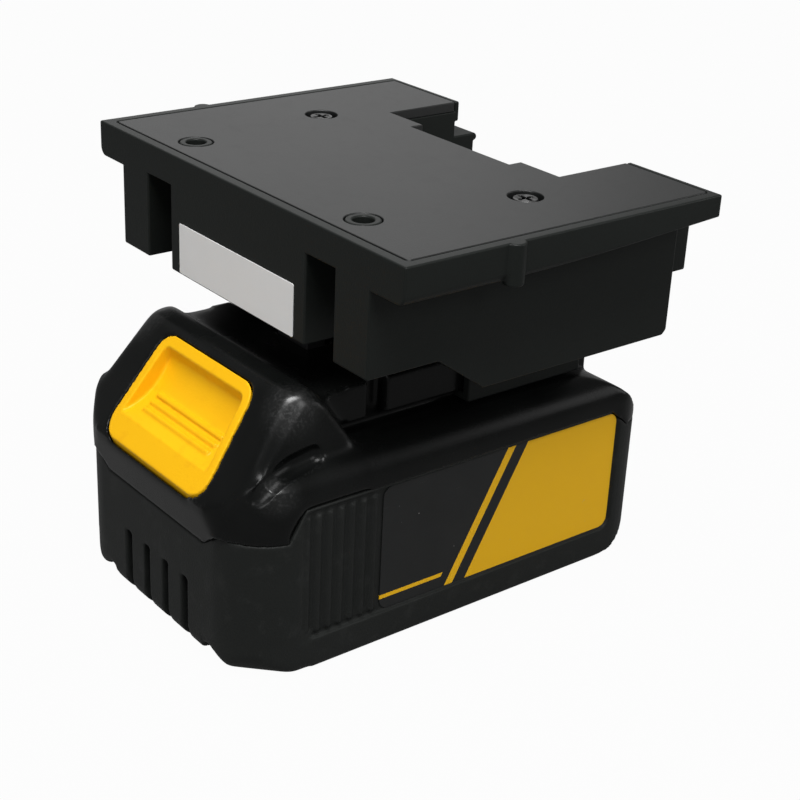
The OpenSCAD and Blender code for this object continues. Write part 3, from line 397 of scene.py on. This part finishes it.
def rounder(at):
    """A place on the tub, drawn in where the bottom is rounder below the two front corners"""
    out = (abs(at.x) - at.y) * math.sqrt(0.5) - CORNER_REACH + CORNER_ROUND
    down = CORNER_ROUND - at.z
    if min(out, down) < 0 or math.hypot(out, down) < CORNER_ROUND:
        return at
    share = 1 - CORNER_ROUND / math.hypot(out, down)
    inwards = out * share * math.sqrt(0.5)
    return at + Vector((math.copysign(inwards, -at.x), inwards, down * share))


def front_foot(at):
    """True near the bottom of the two front corners"""
    return at.z < FOOT_TOP and at.y < FOOT_END and abs(at.x) > FOOT_SIDE


moulded(
    "pack_lower_housing", "pack", lower_plastic, voxel=0.00045, passes=2, share=0.35,
    soft=front_foot, soft_passes=40, reshape=rounder,
)

# Side labels: printed film in the panels, charcoal with a slanted yellow block and a bar beside it.
# Handling has scratched the film and nicked it down to its pale backing.


def eased(node, body, width, finish):
    """A node's solid with its sharp edges broken by a small round"""
    bm = merged_copy(node)
    bmesh.ops.dissolve_limit(bm, angle_limit=math.radians(1), verts=bm.verts, edges=bm.edges)
    sharp = [edge for edge in bm.edges if edge.is_manifold and edge.calc_face_angle() > math.radians(35)]
    bmesh.ops.bevel(
        bm, geom=sharp, offset=width, offset_type="OFFSET", affect="EDGES",
        segments=2, profile=0.5, material=-1,
    )
    for face in bm.faces:
        face.smooth = True
    piece = stands_for(node, body, bm, node + "_eased", finish)
    flat = piece.modifiers.new("flat", "WEIGHTED_NORMAL")
    flat.weight = 100
    return piece


label_low, label_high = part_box("side_label_right")
LABEL_SLANT = 0.55
BLOCK_START = label_low[1] + 0.0340
BAR_MIDDLE = label_low[1] + 0.0290
BAR_HALF = 0.0012
RULE_Z = label_low[2] + 0.0034
RULE_HALF = 0.0005
RULE_END = label_low[1] + 0.0250
label_film = Finish("label film", {"Specular IOR Level": 0.25})
place = label_film.place
lean = place.axis("Y") - (place.axis("Z") - 0.5 * (label_low[2] + label_high[2])) * LABEL_SLANT
rule = (1 - (place.axis("Z") - RULE_Z).size().above(RULE_HALF, 0.00004)) * (1 - lean.above(RULE_END, 0.00004))
bar = 1 - (lean - BAR_MIDDLE).size().above(BAR_HALF, 0.00004)
ink = lean.above(BLOCK_START, 0.00004).larger(bar).larger(rule)
cloud = place.noise(0.012, 3)
scratch = place.stretched(1, 0.06, 1).noise(0.0009, 3, 0.6).above(0.70, 0.03) * cloud.above(0.5, 0.1)
nick = place.noise(0.0022, 3, 0.7).above(0.74, 0.02)
charcoal = (cloud * 0.5 + scratch * 0.5).colours((0.0075, 0.0080, 0.0080, 1), (0.024, 0.025, 0.025, 1))
yellow = (cloud * 0.4 + scratch * 0.2).colours((0.90, 0.50, 0.008, 1), (0.84, 0.45, 0.010, 1))
print_colour = ink.colours(charcoal, yellow)
label_film.feed(
    Base_Color=nick.colours(print_colour, (0.45, 0.44, 0.42, 1)),
    Roughness=cloud * 0.12 + 0.30 + scratch * 0.2,
)
label_film.bump(scratch * -1 + place.noise(0.0008, 2) * 0.3, 0.00004)
eased("side_label_right", "pack", 0.00008, label_film)
eased("side_label_left", "pack", 0.00008, label_film)

# Charge gauge at the rear: a smoked window over four lamps, with a soft grey key in it.
# The window is pressed into the lower housing from outside.
smoke = Finish("smoked window", {"Specular IOR Level": 0.5})
place = smoke.place
cloud = place.noise(0.01, 3)
smoke.feed(
    Base_Color=cloud.colours((0.018, 0.019, 0.021, 1), (0.030, 0.032, 0.034, 1)),
    Roughness=cloud * 0.08 + 0.10,
)
smoke.bump(place.noise(0.004, 2), 0.00002)
eased("gauge_lens", "pack", 0.0003, smoke)
key_rubber = Finish("gauge key rubber", {"Specular IOR Level": 0.3})
place = key_rubber.place
cloud = place.noise(0.004, 3)
key_rubber.feed(
    Base_Color=cloud.colours((0.26, 0.26, 0.25, 1), (0.34, 0.34, 0.33, 1)),
    Roughness=cloud * 0.15 + 0.5,
)
key_rubber.bump(place.noise(0.0004, 2), 0.00004)
eased("gauge_button", "gauge_key", 0.0004, key_rubber)

# Springs below the release button: two coils of steel wire with closed ends, on a shelf of the upper housing.
# They are wound from one wire each, at their free length.
SPRING_RADIUS = 0.003
SPRING_WIRE = 0.00035
SPRING_FREE = 0.0076
SPRING_LEAN = math.radians(20)
WIRE_SIDES = 10
COIL_STEPS = 28
DEAD_TURNS = 0.5
LIVE_TURNS = 2.5
spring_low, spring_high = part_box("latch_springs")
spring_x = spring_high[0] - SPRING_RADIUS - SPRING_WIRE
spring_middle = (Vector(spring_low) + Vector(spring_high)) / 2
spring_axis = Vector((0, -math.sin(SPRING_LEAN), math.cos(SPRING_LEAN)))
spring_seat = spring_middle - spring_axis * SPRING_FREE / 2
bm = bmesh.new()
for side in (-1, 1):
    ring = bmesh.ops.create_circle(bm, segments=WIRE_SIDES, radius=SPRING_WIRE)["verts"]
    bmesh.ops.rotate(bm, verts=ring, matrix=Matrix.Rotation(math.pi / 2, 3, "X"))
    bmesh.ops.translate(bm, verts=ring, vec=(SPRING_RADIUS, 0, SPRING_WIRE))
    before = set(bm.verts) - set(ring)
    tip = ring + list({edge for vert in ring for edge in vert.link_edges})
    rise = (SPRING_FREE - 2 * SPRING_WIRE) / (LIVE_TURNS * COIL_STEPS)
    for turns, lift in ((DEAD_TURNS, 0), (LIVE_TURNS, rise), (DEAD_TURNS, 0)):
        tip = bmesh.ops.spin(
            bm, geom=tip, cent=(0, 0, 0), axis=(0, 0, 1), dvec=(0, 0, lift),
            angle=turns * math.tau, steps=round(turns * COIL_STEPS),
        )["geom_last"]
    coil = list(set(bm.verts) - before)
    seat = Matrix.Translation(spring_seat + Vector((side * spring_x, 0, 0)))
    bmesh.ops.transform(bm, matrix=seat @ Matrix.Rotation(SPRING_LEAN, 4, "X"), verts=coil)
bmesh.ops.holes_fill(bm, edges=[edge for edge in bm.edges if edge.is_boundary])
bmesh.ops.recalc_face_normals(bm, faces=bm.faces)
for face in bm.faces:
    face.smooth = True
spring_wire = Finish("spring wire", {"Metallic": 1.0})
place = spring_wire.place
cloud = place.noise(0.002, 3)
spring_wire.feed(
    Base_Color=cloud.colours((0.50, 0.50, 0.51, 1), (0.38, 0.38, 0.39, 1)),
    Roughness=cloud * 0.2 + 0.25,
)
spring_wire.bump(place.noise(0.0003, 2), 0.00002)
springs = stands_for("latch_springs", "pack", bm, "latch_coils", spring_wire)
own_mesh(springs)

# Latch bolt: a bar of hard black nylon behind the button, which pulls it down.
# Its bevelled end stands just below the adapter's strike.
bolt_nylon = Finish("bolt nylon", {"Specular IOR Level": 0.25})
place = bolt_nylon.place
cloud = place.noise(0.006, 3)
bolt_nylon.feed(
    Base_Color=cloud.colours((0.012, 0.012, 0.013, 1), (0.022, 0.022, 0.023, 1)),
    Roughness=cloud * 0.15 + 0.38,
)
bolt_nylon.bump(place.noise(0.0005, 2), 0.00003)
eased("latch_bolt", "latch", 0.0003, bolt_nylon)

# Release button: semi-gloss yellow moulding with a finger scoop and ridges, pushed up by two springs.
# Finger marks have dulled the scoop.
button_plastic = Finish("button yellow", {"Specular IOR Level": 0.14})
place = button_plastic.place
cloud = place.noise(0.012, 3)
smear = place.noise(0.004, 4, 0.65).above(0.62, 0.1)
button_plastic.feed(
    Base_Color=(smear * 0.25 + cloud * 0.2).colours((0.92, 0.50, 0.006, 1), (0.80, 0.36, 0.006, 1)),
    Roughness=cloud * 0.15 + 0.32 + smear * 0.08,
)
button_plastic.bump(place.noise(0.0006, 2), 0.00004)
moulded("release_button", "latch", button_plastic, voxel=0.0003, passes=3, share=0.6)

# Upper housing of the pack: shoulders, neck and latch hood in one glossy moulding, screwed on from below.
# Handling has scuffed its outer edges into paler specks. At the ridge and the knob the specks are denser and
# the skin glossier: wear, and painted highlight where the lamp's highlights fall. A soft groove parts the
# hood from the shoulder.
HOOD_END = -0.0265
HOOD_FOOT = 0.0345
BUTTON_HALF = 0.0235
BUTTON_END = -0.0435
LIP_TOP = 0.0402
RIDGE_WEAR_AND_HIGHLIGHT = (0.0305, -0.0430, 0.0635)
KNOB_WEAR_AND_HIGHLIGHT = (0.0362, -0.0500, 0.0460)
upper_plastic = Finish("upper housing gloss", {"Specular IOR Level": 0.13, "Coat Roughness": 0.28})
place = upper_plastic.place
cloud = place.noise(0.015, 3)
speck = place.noise(0.0007, 3, 0.7)


def spot_at(centre, reach):
    """1 at a place on both sides of the pack, fading to 0 at a distance"""
    sideways = place.node("VectorMath", {"operation": "ABSOLUTE"}, {0: place.stretched(1, 0, 0)})
    folded = place.node("VectorMath", {"operation": "ADD"}, {0: sideways, 1: place.stretched(0, 1, 1)})
    distance = place.node("VectorMath", {"operation": "DISTANCE"}, {0: folded, 1: centre}, output=1)
    return 1 - distance.above(reach / 2, reach / 2)


# Wear and painted highlight: paler, glossier spots on the ridge and the knob, where the highlights fall.
wear_and_highlight = spot_at(RIDGE_WEAR_AND_HIGHLIGHT, 0.010).larger(spot_at(KNOB_WEAR_AND_HIGHLIGHT, 0.0065) * 0.7)
edge = upper_plastic.geometry("Pointiness").above(0.53, 0.03) * place.noise(0.009, 3).above(0.5, 0.12)
# Paler specks in the colour: scuffs on the edges, and painted glints in the two spots.
scuff_and_glint = (wear_and_highlight * 0.3 + edge * 0.3) * speck.above(0.56, 0.08)
upper_plastic.feed(
    Base_Color=(scuff_and_glint + cloud * 0.05).colours((0.0018, 0.0022, 0.0020, 1), (0.10, 0.10, 0.10, 1)),
    Roughness=cloud * 0.12 + 0.20 + wear_and_highlight * 0.08,
    Coat_Weight=wear_and_highlight,
)
upper_plastic.bump(speck * (0.15 + wear_and_highlight), 0.00005)
CREASE_RADIUS = 0.0023
CREASE = [Vector(point) / 1000 for point in (
    (33.2, -38.5, 51.0), (33.3, -43.9, 50.2), (34.5, -48.4, 49.7), (35.1, -52.0, 48.1),
    (34.7, -54.6, 45.4),
)]


def creased(at):
    """A place on the hood, moved out of the round groove that runs between the hood and the shoulder"""
    side = math.copysign(1, at.x)
    here = Vector((abs(at.x), at.y, at.z))
    nearest = None
    for start, end in zip(CREASE, CREASE[1:]):
        share = geometry.intersect_point_line(here, start, end)[1]
        point = start.lerp(end, min(max(share, 0), 1))
        if nearest is None or (here - point).length < (here - nearest).length:
            nearest = point
    away = here - nearest
    if away.length > CREASE_RADIUS:
        return at
    moved = nearest + away.normalized() * CREASE_RADIUS
    return Vector((side * moved.x, moved.y, moved.z))


def hood_skin(at):
    """True on the hood, away from the button's seat"""
    beside_button = abs(at.x) > BUTTON_HALF or at.y > BUTTON_END or at.z < LIP_TOP
    return at.y < HOOD_END and at.z > HOOD_FOOT and beside_button


moulded(
    "pack_upper_housing", "pack", upper_plastic, voxel=0.0005, passes=3, share=0.4,
    soft=hood_skin, soft_passes=30, reshape=creased,
)

# Housing screws: four socket screws of blackened steel.
# They go up from deep holes in the underside and hold the two housings together.
black_steel = Finish("blackened steel", {"Metallic": 1.0})
place = black_steel.place
rubbed = place.noise(0.0014, 4).above(0.58, 0.1)
black_steel.feed(
    Base_Color=rubbed.colours((0.10, 0.10, 0.11, 1), (0.36, 0.35, 0.34, 1)),
    Roughness=rubbed * -0.1 + 0.42,
)
black_steel.bump(place.noise(0.0003, 2), 0.00002)
eased("housing_screws", "pack", 0.0002, black_steel)

# Adapter housing: satin black box with side flanges, moulded in one piece, open at the top.
# Its rim is polished by the hands that fit it, and takes more gloss than the sides.
rim_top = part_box("adapter_housing")[1][2]
adapter_plastic = Finish("adapter satin", {"Specular IOR Level": 0.11, "Coat Roughness": 0.32})
place = adapter_plastic.place
cloud = place.noise(0.03, 3)
polish = place.axis("Z").above(rim_top - 0.0002, 0.0001)
adapter_plastic.feed(
    Base_Color=cloud.colours((0.0084, 0.0100, 0.0090, 1), (0.0122, 0.0138, 0.0128, 1)),
    Roughness=cloud * 0.12 + 0.38,
    Coat_Weight=polish * 0.2,
)
adapter_plastic.bump(place.noise(0.0004, 2), 0.00003)
eased("adapter_housing", "adapter", 0.00045, adapter_plastic)

# Contact carrier: nylon block in the adapter's floor.
# It holds four flat blades of tinned brass: one for each pole and two for signals.
insulator.on_node("contact_carrier")
brass.on_node("blade_positive", "blade_negative", "blades_signal")

# Output block: nylon block at the inner wall of the rear notch.
# It holds forked clips of tinned brass for the blades of the tool.
eased("output_block", "adapter", 0.00025, insulator)
brass.on_node("output_clips")


# Wires: leads in soft coloured insulation, from the blades up to the clips of the output block.
# Their ends are soldered on, and they lie loose between.


def insulated(node, name, colour, worn_colour):
    """A wire of the adapter: its solid rounded into a smooth tube of soft insulation"""
    soft = Finish(name, {"Specular IOR Level": 0.35})
    cloud = soft.place.noise(0.004, 3)
    soft.feed(Base_Color=cloud.colours(colour, worn_colour), Roughness=cloud * 0.15 + 0.4)
    soft.bump(soft.place.noise(0.0005, 2), 0.00003)
    bm = merged_copy(node)
    for face in bm.faces:
        face.smooth = True
    piece = stands_for(node, "adapter", bm, node + "_tube", soft)
    tube = piece.modifiers.new("tube", "SUBSURF")
    tube.levels = tube.render_levels = 2


RED, RED_WORN = (0.42, 0.03, 0.02, 1), (0.34, 0.03, 0.02, 1)
BLACK, BLACK_WORN = (0.015, 0.015, 0.015, 1), (0.025, 0.025, 0.025, 1)
CREAM, CREAM_WORN = (0.62, 0.58, 0.46, 1), (0.54, 0.50, 0.40, 1)
insulated("wire_positive", "red insulation", RED, RED_WORN)
insulated("wire_negative", "black insulation", BLACK, BLACK_WORN)
insulated("wires_signal", "cream insulation", CREAM, CREAM_WORN)

# Cover plate of the adapter: a smooth black plate let into the housing's rim, with a little dust on it.
# It has clearance holes round the housing's two bosses, and two sunk holes for the screws that hold it.
cover_plastic = Finish("cover satin", {"Specular IOR Level": 0.45})
place = cover_plastic.place
cloud = place.noise(0.03, 3)
dust = place.noise(0.004, 5, 0.7).above(0.6, 0.12)
cover_plastic.feed(
    Base_Color=(cloud * 0.5 + dust * 0.3).colours((0.0060, 0.0066, 0.0064, 1), (0.013, 0.0138, 0.0136, 1)),
    Roughness=cloud * 0.04 + 0.35 + dust * 0.02,
)
cover_plastic.bump(place.noise(0.0004, 2), 0.00003)
eased("adapter_cover", "adapter", 0.00025, cover_plastic)

# Cover screws: two cross-head screws of zinc-plated steel that hold the cover down.
# They are darkened by use, and painted near black below the top of the head: painted shade in the cross and
# the counterbore.
screw_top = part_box("cover_screws")[1][2]
plated_steel = Finish("plated steel", {"Metallic": 1.0})
place = plated_steel.place
rubbed = place.noise(0.0016, 4).above(0.5, 0.12)
# Painted shade: 0 below the head's top, in the cross and the counterbore, where the colour goes near black.
unshaded_top = place.axis("Z").above(screw_top - 0.0006, 0.0004)
plated_steel.feed(
    Base_Color=(unshaded_top * (0.45 + rubbed * 0.5)).colours((0.008, 0.008, 0.008, 1), (0.16, 0.16, 0.16, 1)),
    Roughness=rubbed * -0.12 + 0.42,
)
plated_steel.bump(place.noise(0.0003, 2), 0.00002)
eased("cover_screws", "adapter", 0.00012, plated_steel)

# Sticker: bare white film, cut to a strip and stuck on the lower half of the front panel.
# Its face is a little uneven.
paper = Finish("sticker film", {"Specular IOR Level": 0.3})
place = paper.place
cloud = place.noise(0.01, 3)
fibre = place.noise(0.0006, 4, 0.7)
paper.feed(
    Base_Color=(cloud * 0.6 + fibre * 0.4).colours((0.86, 0.86, 0.86, 1), (0.80, 0.80, 0.79, 1)),
    Roughness=cloud * 0.1 + 0.42,
)
paper.bump(fibre, 0.00002)
eased("front_sticker", "adapter", 0.00005, paper)
